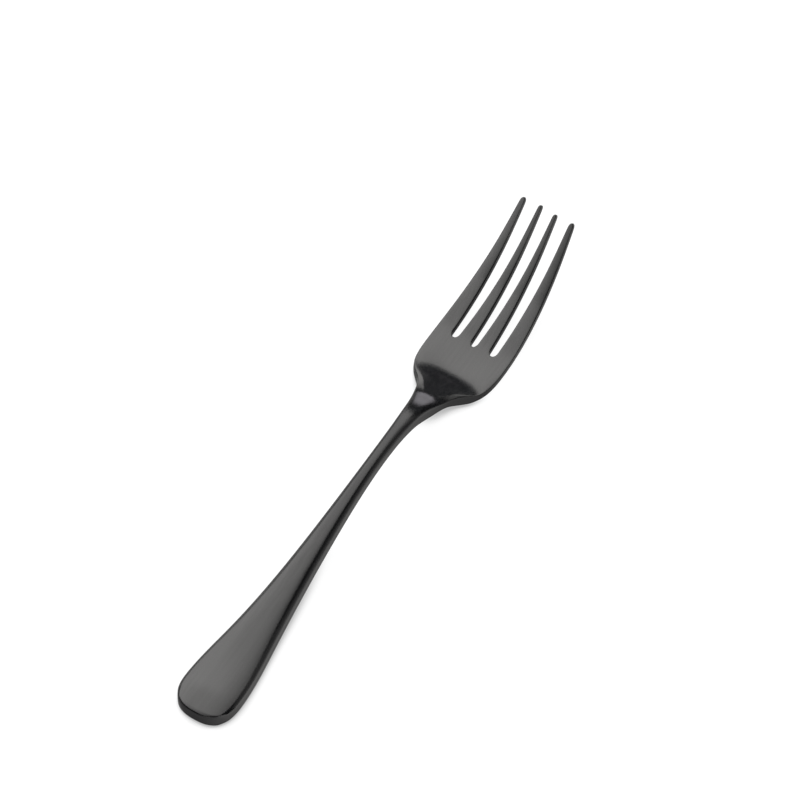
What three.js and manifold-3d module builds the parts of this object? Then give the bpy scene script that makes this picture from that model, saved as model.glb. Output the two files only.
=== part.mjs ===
// A dessert fork in black steel, in millimetres with +Z up, lying on a table at Z = 0 with its tines curving up.
// +Y runs from the end of the handle to the tine tips and X runs across, with the origin under the middle.
//
// The real fork is one blank: it is forged to its thickness, trimmed to its outline, pierced between the tines
// and bent in a press. The model is made in that order. The blank is a loft of sections, the piercing is one
// cutting tool, and both are drawn flat and then carried to the same pressed shape.
import * as THREE from "three";
import { mergeVertices } from "three/addons/utils/BufferGeometryUtils.js";
import Module from "manifold-3d";

// Driving dimensions. Places are measured along the table, from the handle's end or back from the tine tips.
const OVERALL_LENGTH = 180;
const HANDLE_END_LENGTH = 9.7;
const HANDLE_END_SQUARENESS = 2.6;
const REST_FROM_END = 22;
const GRIP_FROM_END = 28;
const SHANK_FROM_END = 65;
const NECK_FROM_TIPS = 88;
const BROW_FROM_TIPS = 76;
const LIP_FROM_TIPS = 72;
const THROAT_FROM_TIPS = 69;
const COLLAR_FROM_TIPS = 65;
const PLUNGE_FROM_TIPS = 62.7;
const FLARE_FROM_TIPS = 61;
const HOLLOW_FROM_TIPS = 58;
const SHOULDER_FROM_TIPS = 55;
const BASIN_FROM_TIPS = 51.5;
const BOWL_FROM_TIPS = 51;
const FLOOR_FROM_TIPS = 48.5;
const HEAD_FROM_TIPS = 44;
const SLOT_LENGTH = 40.1;
const WAIST_FROM_TIPS = 34;
const CURL_FROM_TIPS = 22;
const SWEEP_FROM_TIPS = 10;

// Widths of the outline
const HANDLE_WIDTH = 17.1;
const GRIP_WIDTH = 13.2;
const SHANK_WIDTH = 6.1;
const NECK_WIDTH = 4.4;
const BROW_WIDTH = 5;
const THROAT_WIDTH = 6.4;
const COLLAR_WIDTH = 8;
const FLARE_WIDTH = 10.4;
const HOLLOW_WIDTH = 13.15;
const SHOULDER_WIDTH = 19.3;
const BOWL_WIDTH = 23;
const HEAD_WIDTH = 24.2;
const WAIST_WIDTH = 23.7;
const CURL_WIDTH = 21.95;
const TIP_SPREAD = 17.4;

// Heights of the upper edge above the table
const HANDLE_END_HEIGHT = 4.9;
const SHANK_HEIGHT = 8.35;
const CREST_HEIGHT = 10.75;
const BROW_HEIGHT = 10.1;
const LIP_HEIGHT = 9.46;
const THROAT_HEIGHT = 8.53;
const COLLAR_HEIGHT = 6.9;
const FLARE_HEIGHT = 5.25;
const HOLLOW_HEIGHT = 4.5;
const SHOULDER_HEIGHT = 3.8;
const BOWL_HEIGHT = 3;
const CURL_HEIGHT = 5.9;
const SWEEP_HEIGHT = 12.3;
const TIP_HEIGHT = 20.5;

// Heights of the middle line of the top. It plunges from the neck into the hollow of the head.
const HANDLE_CROWN = 1.1;
const NECK_CROWN = 0.95;
const BROW_MIDDLE = 11.1;
const LIP_MIDDLE = 10.36;
const THROAT_MIDDLE = 9.41;
const COLLAR_MIDDLE = 7.6;
const PLUNGE_MIDDLE = 6.5;
const FLARE_MIDDLE = 5.93;
const HOLLOW_MIDDLE = 4.98;
const SHOULDER_MIDDLE = 4.03;
const BASIN_MIDDLE = 2.88;
const FLOOR_MIDDLE = 2.42;
const HEAD_DISH = 0.1;
const CURL_CROWN = 0.1;
const TIP_CROWN = 0.2;

// The band along each edge over which the top falls from the middle line's height to the edge
const HANDLE_BAND = 9;
const SHANK_BAND = 4.5;
const NECK_BAND = 3.6;
const THROAT_BAND = 3.2;
const COLLAR_BAND = 2.6;
const FLARE_BAND = 2.1;
const HOLLOW_BAND = 1.2;
const SHOULDER_BAND = 0.6;
const BOWL_BAND = 4;
const HEAD_BAND = 12.1;

// The power of the fall's curve: 1 is a straight slope, and more is rounder
const ROUND_FALL = 2.5;
const THROAT_FALL = 2.2;
const FLARE_FALL = 1.3;
const HOLLOW_FALL = 1.2;

// How far ahead of the middle line the sides run in the plunge, and how far they rise above it in the bowl
const SHOULDER_BOW = 1;
const BOWL_BOW = 2;
const HEAD_BOW = 0.8;
const SHOULDER_SIDE_RISE = 0.1;
const BOWL_SIDE_RISE = 0.6;
const HEAD_SIDE_RISE = 0.2;
const BOW_POWER = 4;
const SIDE_RISE_POWER = 2;

// Height of the edge wall, sag of the underside and rounding of the edges
const HANDLE_END_WALL = 4.2;
const HANDLE_WALL = 4;
const SHANK_WALL = 3.2;
const NECK_WALL = 2.7;
const BROW_WALL = 2.8;
const THROAT_WALL = 3.2;
const COLLAR_WALL = 2.8;
const FLARE_WALL = 2.25;
const HOLLOW_WALL = 3.2;
const SHOULDER_WALL = 2.45;
const BOWL_WALL = 2.1;
const HEAD_WALL = 2.1;
const CURL_WALL = 2;
const TIP_WALL = 1.3;
const HANDLE_SAG = 0.2;
const NECK_SAG = 0.75;
const THROAT_SAG = 0.65;
const HEAD_SAG = 0.4;
const HANDLE_END_ROUND = 0.8;
const HANDLE_EDGE_ROUND = 0.6;
const NECK_EDGE_ROUND = 0.7;
const THROAT_EDGE_ROUND = 0.5;
const TINE_EDGE_ROUND = 0.3;
const FULLEST_ROUND_SHARE = 0.45;

// Tines: three tapering slots with round roots, and round tips
const MIDDLE_SLOT_ROOT_WIDTH = 1.9;
const MIDDLE_SLOT_TIP_WIDTH = 3.9;
const OUTER_SLOT_ROOT_WIDTH = 2.2;
const OUTER_SLOT_TIP_WIDTH = 4.2;
const OUTER_SLOT_ROOT_OFFSET = 6.16;
const OUTER_SLOT_TIP_OFFSET = 5.13;
const TIP_FULLNESS = 1.08;

// Length added to the tips for their rounded edges, and depth of the cut beside the outer tips
const TIP_ALLOWANCE = 0.1;
const TIP_CUT_DEPTH = 1.3;

// Depth of the flats that polishing leaves where the fork rests on the table
const REST_FLAT_DEPTH = 0.1;

// Fineness of the facets
const END_STEPS = 14;
const END_FOOT_SHARE = 0.5;
const HANDLE_STEP = 3.5;
const SHOULDER_STEP = 1.25;
const TINE_STEP = 2.5;
const TOOL_STEP = 3;
const ARC_STEPS = 8;
const ROUND_STEPS = 2;
const TOP_SHARES = [0, 0.3, 0.55, 0.75, 0.9, 1];
const UNDER_SHARES = [0, 0.4, 0.75, 1];
const TOOL_MARGIN = 2;
const PROBE = 0.01;
const MERGE_DISTANCE = 1e-4;

// Places along the table, all from the handle's end
const fromTips = (distance) => OVERALL_LENGTH - distance;
const NECK_AT = fromTips(NECK_FROM_TIPS);
const BROW_AT = fromTips(BROW_FROM_TIPS);
const LIP_AT = fromTips(LIP_FROM_TIPS);
const THROAT_AT = fromTips(THROAT_FROM_TIPS);
const COLLAR_AT = fromTips(COLLAR_FROM_TIPS);
const PLUNGE_AT = fromTips(PLUNGE_FROM_TIPS);
const FLARE_AT = fromTips(FLARE_FROM_TIPS);
const HOLLOW_AT = fromTips(HOLLOW_FROM_TIPS);
const SHOULDER_AT = fromTips(SHOULDER_FROM_TIPS);
const BASIN_AT = fromTips(BASIN_FROM_TIPS);
const BOWL_AT = fromTips(BOWL_FROM_TIPS);
const FLOOR_AT = fromTips(FLOOR_FROM_TIPS);
const HEAD_AT = fromTips(HEAD_FROM_TIPS);
const SLOT_ROOT_AT = fromTips(SLOT_LENGTH);
const WAIST_AT = fromTips(WAIST_FROM_TIPS);
const CURL_AT = fromTips(CURL_FROM_TIPS);
const SWEEP_AT = fromTips(SWEEP_FROM_TIPS);
const BLANK_END = OVERALL_LENGTH + TOOL_MARGIN;

// A smooth curve through [place, value] knots: a natural cubic spline, which goes on straight past its ends.
function smoothCurve(knots) {
  const count = knots.length;
  const place = knots.map((knot) => knot[0]);
  const value = knots.map((knot) => knot[1]);
  const slope = (i) => (value[i + 1] - value[i]) / (place[i + 1] - place[i]);
  const curvature = new Array(count).fill(0);
  const carried = new Array(count).fill(0);
  for (let i = 1; i < count - 1; i++) {
    const share = (place[i] - place[i - 1]) / (place[i + 1] - place[i - 1]);
    const pivot = share * curvature[i - 1] + 2;
    curvature[i] = (share - 1) / pivot;
    const jump = (6 * (slope(i) - slope(i - 1))) / (place[i + 1] - place[i - 1]);
    carried[i] = (jump - share * carried[i - 1]) / pivot;
  }
  curvature[count - 1] = 0;
  for (let i = count - 2; i >= 0; i--) {
    curvature[i] = curvature[i] * curvature[i + 1] + carried[i];
  }
  const startSlope = slope(0) - ((place[1] - place[0]) * curvature[1]) / 6;
  const last = count - 1;
  const endSlope = slope(last - 1) + ((place[last] - place[last - 1]) * curvature[last - 1]) / 6;
  return (at) => {
    if (at <= place[0]) {
      return value[0] + startSlope * (at - place[0]);
    }
    if (at >= place[last]) {
      return value[last] + endSlope * (at - place[last]);
    }
    const i = place.findIndex((edge) => edge > at) - 1;
    const span = place[i + 1] - place[i];
    const a = (place[i + 1] - at) / span;
    const b = 1 - a;
    const swell = ((a ** 3 - a) * curvature[i] + (b ** 3 - b) * curvature[i + 1]) * (span ** 2 / 6);
    return a * value[i] + b * value[i + 1] + swell;
  };
}

// Half the width. The first knot mirrors the grip, so that the sides start level at the handle's widest part.
const halfWidth = smoothCurve([
  [2 * HANDLE_END_LENGTH - GRIP_FROM_END, GRIP_WIDTH / 2],
  [HANDLE_END_LENGTH, HANDLE_WIDTH / 2],
  [GRIP_FROM_END, GRIP_WIDTH / 2],
  [SHANK_FROM_END, SHANK_WIDTH / 2],
  [NECK_AT, NECK_WIDTH / 2],
  [BROW_AT, BROW_WIDTH / 2],
  [THROAT_AT, THROAT_WIDTH / 2],
  [COLLAR_AT, COLLAR_WIDTH / 2],
  [FLARE_AT, FLARE_WIDTH / 2],
  [HOLLOW_AT, HOLLOW_WIDTH / 2],
  [SHOULDER_AT, SHOULDER_WIDTH / 2],
  [BOWL_AT, BOWL_WIDTH / 2],
  [HEAD_AT, HEAD_WIDTH / 2],
  [WAIST_AT, WAIST_WIDTH / 2],
  [CURL_AT, CURL_WIDTH / 2],
  [OVERALL_LENGTH, TIP_SPREAD / 2],
]);

// Height of the upper edge. Where the fork rests, it follows from what lies between it and the table.
const REST_HEIGHT = HANDLE_WALL + HANDLE_SAG - REST_FLAT_DEPTH;
const HEAD_HEIGHT = HEAD_WALL + HEAD_SAG - REST_FLAT_DEPTH;
const edgeHeight = smoothCurve([
  [0, HANDLE_END_HEIGHT],
  [REST_FROM_END, REST_HEIGHT],
  [SHANK_FROM_END, SHANK_HEIGHT],
  [NECK_AT, CREST_HEIGHT],
  [BROW_AT, BROW_HEIGHT],
  [LIP_AT, LIP_HEIGHT],
  [THROAT_AT, THROAT_HEIGHT],
  [COLLAR_AT, COLLAR_HEIGHT],
  [FLARE_AT, FLARE_HEIGHT],
  [HOLLOW_AT, HOLLOW_HEIGHT],
  [SHOULDER_AT, SHOULDER_HEIGHT],
  [BOWL_AT, BOWL_HEIGHT],
  [HEAD_AT, HEAD_HEIGHT],
  [CURL_AT, CURL_HEIGHT],
  [SWEEP_AT, SWEEP_HEIGHT],
  [OVERALL_LENGTH, TIP_HEIGHT],
]);

const middleHeight = smoothCurve([
  [0, HANDLE_END_HEIGHT + HANDLE_CROWN],
  [REST_FROM_END, REST_HEIGHT + HANDLE_CROWN],
  [SHANK_FROM_END, SHANK_HEIGHT + NECK_CROWN],
  [NECK_AT, CREST_HEIGHT + NECK_CROWN],
  [BROW_AT, BROW_MIDDLE],
  [LIP_AT, LIP_MIDDLE],
  [THROAT_AT, THROAT_MIDDLE],
  [COLLAR_AT, COLLAR_MIDDLE],
  [PLUNGE_AT, PLUNGE_MIDDLE],
  [FLARE_AT, FLARE_MIDDLE],
  [HOLLOW_AT, HOLLOW_MIDDLE],
  [SHOULDER_AT, SHOULDER_MIDDLE],
  [BASIN_AT, BASIN_MIDDLE],
  [FLOOR_AT, FLOOR_MIDDLE],
  [HEAD_AT, HEAD_HEIGHT - HEAD_DISH],
  [CURL_AT, CURL_HEIGHT + CURL_CROWN],
  [SWEEP_AT, SWEEP_HEIGHT + TIP_CROWN],
  [OVERALL_LENGTH, TIP_HEIGHT + TIP_CROWN],
]);

const band = smoothCurve([
  [0, HANDLE_BAND],
  [REST_FROM_END, HANDLE_BAND],
  [SHANK_FROM_END, SHANK_BAND],
  [NECK_AT, NECK_BAND],
  [THROAT_AT, THROAT_BAND],
  [COLLAR_AT, COLLAR_BAND],
  [FLARE_AT, FLARE_BAND],
  [HOLLOW_AT, HOLLOW_BAND],
  [SHOULDER_AT, SHOULDER_BAND],
  [BOWL_AT, BOWL_BAND],
  [HEAD_AT, HEAD_BAND],
  [OVERALL_LENGTH, HEAD_BAND],
]);

const bandPower = smoothCurve([
  [0, ROUND_FALL],
  [BROW_AT, ROUND_FALL],
  [THROAT_AT, THROAT_FALL],
  [FLARE_AT, FLARE_FALL],
  [HOLLOW_AT, HOLLOW_FALL],
  [BOWL_AT, ROUND_FALL],
  [HEAD_AT, ROUND_FALL],
  [OVERALL_LENGTH, ROUND_FALL],
]);

const bow = smoothCurve([
  [0, 0],
  [THROAT_AT, 0],
  [FLARE_AT, 0],
  [SHOULDER_AT, SHOULDER_BOW],
  [BOWL_AT, BOWL_BOW],
  [HEAD_AT, HEAD_BOW],
  [SLOT_ROOT_AT, 0],
  [CURL_AT, 0],
  [OVERALL_LENGTH, 0],
]);

const sideRise = smoothCurve([
  [0, 0],
  [THROAT_AT, 0],
  [FLARE_AT, 0],
  [SHOULDER_AT, SHOULDER_SIDE_RISE],
  [BOWL_AT, BOWL_SIDE_RISE],
  [HEAD_AT, HEAD_SIDE_RISE],
  [SLOT_ROOT_AT, 0],
  [CURL_AT, 0],
  [OVERALL_LENGTH, 0],
]);

const wallHeight = smoothCurve([
  [0, HANDLE_END_WALL],
  [REST_FROM_END, HANDLE_WALL],
  [SHANK_FROM_END, SHANK_WALL],
  [NECK_AT, NECK_WALL],
  [BROW_AT, BROW_WALL],
  [THROAT_AT, THROAT_WALL],
  [COLLAR_AT, COLLAR_WALL],
  [FLARE_AT, FLARE_WALL],
  [HOLLOW_AT, HOLLOW_WALL],
  [SHOULDER_AT, SHOULDER_WALL],
  [BOWL_AT, BOWL_WALL],
  [HEAD_AT, HEAD_WALL],
  [CURL_AT, CURL_WALL],
  [OVERALL_LENGTH, TIP_WALL],
]);

const sag = smoothCurve([
  [0, HANDLE_SAG],
  [REST_FROM_END, HANDLE_SAG],
  [NECK_AT, NECK_SAG],
  [THROAT_AT, THROAT_SAG],
  [HEAD_AT, HEAD_SAG],
  [SLOT_ROOT_AT, HEAD_SAG],
  [OVERALL_LENGTH, HEAD_SAG],
]);

const edgeRound = smoothCurve([
  [0, HANDLE_END_ROUND],
  [GRIP_FROM_END, HANDLE_EDGE_ROUND],
  [NECK_AT, NECK_EDGE_ROUND],
  [THROAT_AT, THROAT_EDGE_ROUND],
  [FLARE_AT, TINE_EDGE_ROUND],
  [HEAD_AT, TINE_EDGE_ROUND],
  [OVERALL_LENGTH, TINE_EDGE_ROUND],
]);

function slopeOf(curve, y) {
  return (curve(y + PROBE) - curve(y - PROBE)) / (2 * PROBE);
}

// How far out a point of the flat blank lies in the falling band: 0 where the band starts and 1 at the outline.
function fallShare(x, y) {
  if (y < HANDLE_END_LENGTH) {
    const across = Math.abs(x) / (HANDLE_WIDTH / 2);
    const along = (HANDLE_END_LENGTH - y) / HANDLE_END_LENGTH;
    const radius = (across ** HANDLE_END_SQUARENESS + along ** HANDLE_END_SQUARENESS) ** (1 / HANDLE_END_SQUARENESS);
    return Math.min(radius, 1);
  }
  const stretch = Math.hypot(1, slopeOf(halfWidth, y));
  const half = halfWidth(y) / stretch;
  const inset = half - Math.abs(x) / stretch;
  return THREE.MathUtils.clamp(1 - inset / Math.min(half, band(y)), 0, 1);
}

// Carries a point of the flat blank, some height above or below its upper face, to its place in the pressed fork.
function press(x, y, height) {
  const arch = 1 - fallShare(x, y) ** bandPower(y);
  const outShare = x / halfWidth(Math.max(y, HANDLE_END_LENGTH));
  const ahead = bow(y) * Math.abs(outShare) ** BOW_POWER;
  const rise = sideRise(y) * Math.abs(outShare) ** SIDE_RISE_POWER;
  const crown = middleHeight(y + ahead) + rise - edgeHeight(y);
  const heightShare = 1 + height / wallHeight(y);
  const lift = arch * crown * heightShare;
  const drop = height - arch * sag(y) * (1 - heightShare);
  const tilt = Math.atan(slopeOf(edgeHeight, y));
  return new THREE.Vector3(x, y - drop * Math.sin(tilt), edgeHeight(y) + lift + drop * Math.cos(tilt));
}

// Places from one to the other, both included, no further apart than the step.
function spaced(from, to, step) {
  const count = Math.ceil((to - from) / step);
  return Array.from({ length: count + 1 }, (_, i) => from + ((to - from) * i) / count);
}

// One side of the outline, from the middle of the handle's round end to the tips. Each point has a foot on the
// middle line: straight across from it along the sides, and fanned round the handle's end.
function outlineRows() {
  const rows = [];
  const power = 2 / HANDLE_END_SQUARENESS;
  for (let i = 0; i < END_STEPS; i++) {
    const turn = (i / END_STEPS) * (Math.PI / 2);
    rows.push({
      x: (HANDLE_WIDTH / 2) * Math.sin(turn) ** power,
      y: HANDLE_END_LENGTH * (1 - Math.cos(turn) ** power),
      foot: HANDLE_END_LENGTH * THREE.MathUtils.lerp(END_FOOT_SHARE, 1, i / END_STEPS),
    });
  }
  const sides = [
    ...spaced(HANDLE_END_LENGTH, BROW_AT, HANDLE_STEP),
    ...spaced(BROW_AT, HEAD_AT, SHOULDER_STEP).slice(1),
    ...spaced(HEAD_AT, BLANK_END, TINE_STEP).slice(1),
  ];
  sides.forEach((y) => rows.push({ x: halfWidth(y), y, foot: y }));
  return rows;
}

// Half of a section, from the middle of the top, over the rounded edge and down the wall, to the middle of the
// underside: [share of the way from the middle to the edge, height above the upper face of the flat blank].
function halfSection(row) {
  const reach = Math.hypot(row.x, row.y - row.foot);
  const wall = wallHeight(row.y);
  const round = Math.min(edgeRound(row.y), wall * FULLEST_ROUND_SHARE);
  const flat = 1 - round / reach;
  const top = TOP_SHARES.map((share) => [share * flat, 0]);
  const under = UNDER_SHARES.map((share) => [share * flat, -wall]);
  const upperRound = [];
  const lowerRound = [];
  for (let i = 1; i <= ROUND_STEPS; i++) {
    const turn = (i / ROUND_STEPS) * (Math.PI / 2);
    const share = flat + (1 - flat) * Math.sin(turn);
    const drop = round * (1 - Math.cos(turn));
    upperRound.push([share, -drop]);
    lowerRound.push([share, drop - wall]);
  }
  return [...top, ...upperRound, ...lowerRound.reverse(), ...under.reverse()];
}

function placedSection(row, side) {
  return halfSection(row).map(([share, height]) =>
    press(side * row.x * share, row.foot + (row.y - row.foot) * share, height),
  );
}

// A closed geometry from triangles of points, with shared points merged and collapsed triangles left out.
function closedGeometry(triangles) {
  const loose = new THREE.BufferGeometry().setFromPoints(triangles.flat());
  const merged = mergeVertices(loose, MERGE_DISTANCE);
  const index = merged.index.array;
  const kept = [];
  for (let i = 0; i < index.length; i += 3) {
    const [a, b, c] = index.slice(i, i + 3);
    if (a !== b && b !== c && c !== a) {
      kept.push(a, b, c);
    }
  }
  merged.setIndex(kept);
  return merged;
}

// Triangles between two rows of points that run side by side.
function strip(row, next) {
  const triangles = [];
  for (let i = 0; i < row.length - 1; i++) {
    triangles.push([row[i], row[i + 1], next[i]]);
    triangles.push([row[i + 1], next[i + 1], next[i]]);
  }
  return triangles;
}

// The blank, lofted round its outline from the left tine tips, round the handle's end, to the right tine tips.
function blankGeometry() {
  const rows = outlineRows();
  const left = rows.slice(1).reverse().map((row) => placedSection(row, -1));
  const right = rows.map((row) => placedSection(row, 1));
  const round = [...left, ...right];
  const triangles = [];
  for (let i = 0; i < round.length - 1; i++) {
    triangles.push(...strip(round[i], round[i + 1]));
  }
  triangles.push(...strip(round[round.length - 1], round[0]));
  return closedGeometry(triangles);
}

// The slots from left to right: middle line and half width at the root and at the tips.
const slots = [-1, 0, 1].map((side) => ({
  rootX: side * OUTER_SLOT_ROOT_OFFSET,
  tipX: side * OUTER_SLOT_TIP_OFFSET,
  rootHalf: (side === 0 ? MIDDLE_SLOT_ROOT_WIDTH : OUTER_SLOT_ROOT_WIDTH) / 2,
  tipHalf: (side === 0 ? MIDDLE_SLOT_TIP_WIDTH : OUTER_SLOT_TIP_WIDTH) / 2,
}));

// Draws a round tip between a tine's two sides. Its arc is a little wider than the tine, so that it meets both
// sides at a small corner.
function drawTip(shape, leftX, rightX, tipY) {
  const width = rightX - leftX;
  const radius = (width / 2) * TIP_FULLNESS;
  const lean = Math.acos(width / (2 * radius));
  shape.absarc((leftX + rightX) / 2, tipY - radius, radius, Math.PI - lean, lean, true);
}

// The outline of the piercing tool: a comb that fills the slots and goes round the four tips.
function combShape() {
  const shape = new THREE.Shape();
  const outside = HEAD_WIDTH / 2 + TOOL_MARGIN;
  const sideX = TIP_SPREAD / 2;
  const tipY = OVERALL_LENGTH + TIP_ALLOWANCE;
  const outsideY = tipY - TIP_CUT_DEPTH;
  shape.moveTo(-outside, outsideY);
  let tineLeft = -sideX;
  for (const slot of slots) {
    drawTip(shape, tineLeft, slot.tipX - slot.tipHalf, tipY);
    const rootY = SLOT_ROOT_AT + slot.rootHalf;
    shape.absarc(slot.rootX, rootY, slot.rootHalf, Math.PI, 2 * Math.PI, false);
    tineLeft = slot.tipX + slot.tipHalf;
  }
  drawTip(shape, tineLeft, sideX, tipY);
  shape.lineTo(outside, outsideY);
  shape.lineTo(outside, BLANK_END + TOOL_MARGIN);
  shape.lineTo(-outside, BLANK_END + TOOL_MARGIN);
  return shape;
}

// The piercing tool: layers of the comb's outline through the head, opened out at both faces, so that the cut
// leaves rounded edges on the tines.
function combGeometry() {
  const corners = combShape().extractPoints(ARC_STEPS).shape;
  const outline = [];
  corners.forEach((corner, i) => {
    const next = corners[(i + 1) % corners.length];
    const pieces = Math.ceil(corner.distanceTo(next) / TOOL_STEP);
    for (let k = 0; k < pieces; k++) {
      outline.push(corner.clone().lerp(next, k / pieces));
    }
  });
  const outward = outline.map((point, i) => {
    const before = outline[(i + outline.length - 1) % outline.length];
    const after = outline[(i + 1) % outline.length];
    return new THREE.Vector2(after.y - before.y, before.x - after.x).normalize();
  });
  const halfway = 1 - Math.SQRT1_2;
  const opened = [[TOOL_MARGIN, 1], [0, 1], [-halfway, halfway], [-1, 0]];
  const layer = (spread, heightAt) =>
    outline.map((point, i) => {
      const x = point.x + outward[i].x * spread * TINE_EDGE_ROUND;
      const y = point.y + outward[i].y * spread * TINE_EDGE_ROUND;
      return press(x, y, heightAt(y));
    });
  const upper = opened.map(([rise, spread]) => layer(spread, () => rise * TINE_EDGE_ROUND));
  const lower = opened.map(([rise, spread]) => layer(spread, (y) => -wallHeight(y) - rise * TINE_EDGE_ROUND));
  const roof = Math.max(...upper[0].map((point) => point.z)) + TOOL_MARGIN;
  const floor = Math.min(...lower[0].map((point) => point.z)) - TOOL_MARGIN;
  const roofLayer = upper[0].map((point) => point.clone().setZ(roof));
  const floorLayer = lower[0].map((point) => point.clone().setZ(floor));
  const layers = [roofLayer, ...upper, ...lower.reverse(), floorLayer];
  const triangles = [];
  for (let i = 0; i < layers.length - 1; i++) {
    const closedRow = [...layers[i], layers[i][0]];
    const closedNext = [...layers[i + 1], layers[i + 1][0]];
    triangles.push(...strip(closedNext, closedRow));
  }
  for (const [a, b, c] of THREE.ShapeUtils.triangulateShape(outline, [])) {
    triangles.push([roofLayer[a], roofLayer[b], roofLayer[c]]);
    triangles.push([floorLayer[c], floorLayer[b], floorLayer[a]]);
  }
  return closedGeometry(triangles);
}

// The table plane, as a slab that trims the underside flat where the fork rests.
function tableGeometry() {
  const slab = new THREE.BoxGeometry(HEAD_WIDTH * 2, OVERALL_LENGTH * 2, TOOL_MARGIN);
  slab.translate(0, OVERALL_LENGTH / 2, -TOOL_MARGIN / 2);
  slab.deleteAttribute("normal");
  slab.deleteAttribute("uv");
  return mergeVertices(slab);
}

const wasm = await Module();
wasm.setup();

function toSolid(geometry) {
  const vertProperties = Float32Array.from(geometry.attributes.position.array);
  const triVerts = Uint32Array.from(geometry.index.array);
  return new wasm.Manifold(new wasm.Mesh({ numProp: 3, vertProperties, triVerts }));
}

function toGeometry(solid) {
  const { vertProperties, triVerts } = solid.getMesh();
  const geometry = new THREE.BufferGeometry();
  geometry.setAttribute("position", new THREE.BufferAttribute(vertProperties, 3));
  geometry.setIndex(new THREE.BufferAttribute(triVerts, 1));
  geometry.computeVertexNormals();
  return geometry;
}

const pierced = toSolid(blankGeometry()).subtract(toSolid(combGeometry())).subtract(toSolid(tableGeometry()));
const geometry = toGeometry(pierced);
geometry.computeBoundingBox();

const blackSteel = new THREE.MeshStandardMaterial({ color: 0x595958, roughness: 0.35, metalness: 1 });
const fork = new THREE.Mesh(geometry, blackSteel);
fork.name = "fork";
fork.position.y = -(geometry.boundingBox.min.y + geometry.boundingBox.max.y) / 2;

const dessertFork = new THREE.Group();
dessertFork.add(fork);

export default dessertFork;
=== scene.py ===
# %% [markdown]
# A dessert fork in black steel
#
# A plain fork is one piece of steel. A blank is rolled and forged to its thickness, trimmed to its
# outline, pierced between the tines, pressed to its bends, brushed along its length and given a thin
# black coating. This lesson works in much the same order: a flat sheet is pierced, trimmed, thickened
# and rounded, and only then pressed and coated. The measured solid in the frame says where the fork
# lies, and all lengths are in metres.

# %% Load the measured fork
import math

import bpy
import numpy as np
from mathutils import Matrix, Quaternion, Vector


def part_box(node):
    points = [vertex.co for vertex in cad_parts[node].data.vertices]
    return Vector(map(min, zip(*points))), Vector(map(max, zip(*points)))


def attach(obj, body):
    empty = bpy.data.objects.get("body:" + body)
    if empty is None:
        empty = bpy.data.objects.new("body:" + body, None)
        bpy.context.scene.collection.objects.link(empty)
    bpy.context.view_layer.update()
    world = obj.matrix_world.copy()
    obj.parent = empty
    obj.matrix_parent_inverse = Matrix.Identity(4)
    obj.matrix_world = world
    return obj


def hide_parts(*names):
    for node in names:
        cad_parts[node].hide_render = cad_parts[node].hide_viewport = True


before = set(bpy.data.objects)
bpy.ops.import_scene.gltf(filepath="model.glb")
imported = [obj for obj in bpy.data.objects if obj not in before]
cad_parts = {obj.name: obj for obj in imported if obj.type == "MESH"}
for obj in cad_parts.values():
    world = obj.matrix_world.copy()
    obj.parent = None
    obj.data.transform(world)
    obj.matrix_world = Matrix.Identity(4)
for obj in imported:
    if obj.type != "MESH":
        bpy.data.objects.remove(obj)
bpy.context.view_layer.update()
fork_low, fork_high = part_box("fork")
print("the measured fork lies between", fork_low[:], "and", fork_high[:])

# %% [markdown]
# Camera
#
# The fork is seen from above and a little from its right, through a long lens, so that near and far
# parts keep almost the same scale. The camera looks at a point on the table beside the neck. It could
# be placed by its coordinates, but two angles are easier to picture, as a photographer would set a
# tripod: one round the fork and one above the table.

# %% Place the camera
AIM_POINT = Vector((-0.00828, 0.02497, 0.0))
CAMERA_AZIMUTH = math.radians(32.13)
CAMERA_ELEVATION = math.radians(56.23)
CAMERA_DISTANCE = 1.25
CAMERA_LENS = 203.3
CAMERA_SENSOR = 36.0

camera_back = Vector(
    (
        math.sin(CAMERA_AZIMUTH) * math.cos(CAMERA_ELEVATION),
        -math.cos(CAMERA_AZIMUTH) * math.cos(CAMERA_ELEVATION),
        math.sin(CAMERA_ELEVATION),
    )
)
bpy.ops.object.camera_add(location=AIM_POINT + camera_back * CAMERA_DISTANCE)
camera = bpy.context.object
camera.name = "table_camera"
camera.rotation_euler = camera_back.to_track_quat("Z", "Y").to_euler()
camera.data.lens = CAMERA_LENS
camera.data.sensor_width = CAMERA_SENSOR
bpy.context.scene.camera = camera
print("the camera stands at", camera.location[:])

# %% [markdown]
# The fork's curves
#
# A fork's shape is a handful of sizes that change slowly along its length. They could be drawn as
# Blender curves, but a table is easier to read and to change: it gives a size at a few named places,
# and a smooth curve runs through them. Such a curve has no kinks, and kinks are what a shiny surface
# shows first. The places are measured from the handle's end.

# %% Name the places along the fork
PLACES = {
    "end": 0.0,
    "broad": 0.0097,
    "rest": 0.022,
    "grip": 0.028,
    "shank": 0.065,
    "neck": 0.092,
    "brow": 0.104,
    "lip": 0.108,
    "throat": 0.111,
    "collar": 0.115,
    "plunge": 0.1173,
    "flare": 0.119,
    "hollow": 0.122,
    "shoulder": 0.125,
    "basin": 0.1285,
    "bowl": 0.129,
    "floor": 0.1315,
    "head": 0.136,
    "roots": 0.1399,
    "waist": 0.146,
    "curl": 0.158,
    "sweep": 0.170,
    "tips": 0.180,
}
print(len(PLACES), "places lie along", PLACES["tips"], "m of fork")


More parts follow.
